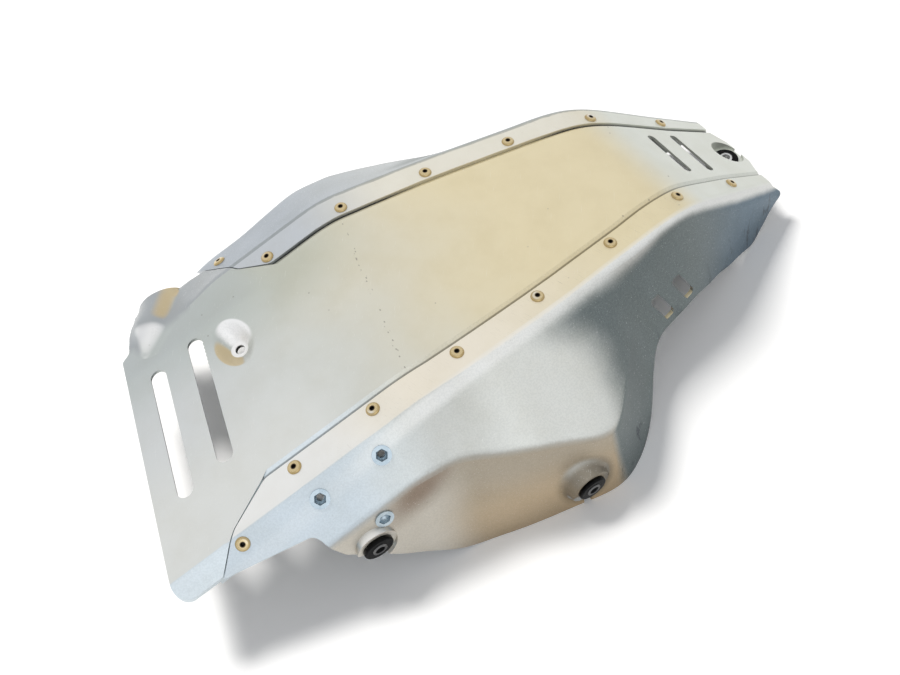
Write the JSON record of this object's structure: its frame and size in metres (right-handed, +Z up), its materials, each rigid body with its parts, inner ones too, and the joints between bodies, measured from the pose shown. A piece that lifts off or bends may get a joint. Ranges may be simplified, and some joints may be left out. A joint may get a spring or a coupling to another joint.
{
  "type": "belly pan",
  "caption": "Pressed aluminium belly pan for a motorbike, two bulged side panels riveted to a bent centre plate, with rubber grommets",
  "frame": {"origin": "bottom centre of the box round the pan as it lies, outer face up, on the side panels' lower edges", "axes": "x along the pan to its nose, y across it to the short panel, z up out of the deck's outer face"},
  "size_m": [0.527, 0.3231, 0.1016],
  "materials": {
    "sheet": "satin, scratched",
    "rivet": "satin",
    "stem": "dull",
    "grommet": "matt",
    "sleeve": "turned",
    "insert": "zinc plated"
  },
  "bodies": {
    "root": {"centre_plate": "sheet", "long_side_panel": "sheet", "short_side_panel": "sheet", "rivets_long_side": "rivet", "rivets_short_side": "rivet", "rivet_stems_long_side": "stem", "rivet_stems_short_side": "stem", "nose_grommet": "grommet", "front_wing_grommet": "grommet", "rear_wing_grommet": "grommet", "nose_sleeve": "sleeve", "front_wing_sleeve": "sleeve", "rear_wing_sleeve": "sleeve", "flank_inserts": "insert"}
  },
  "joints": []
}
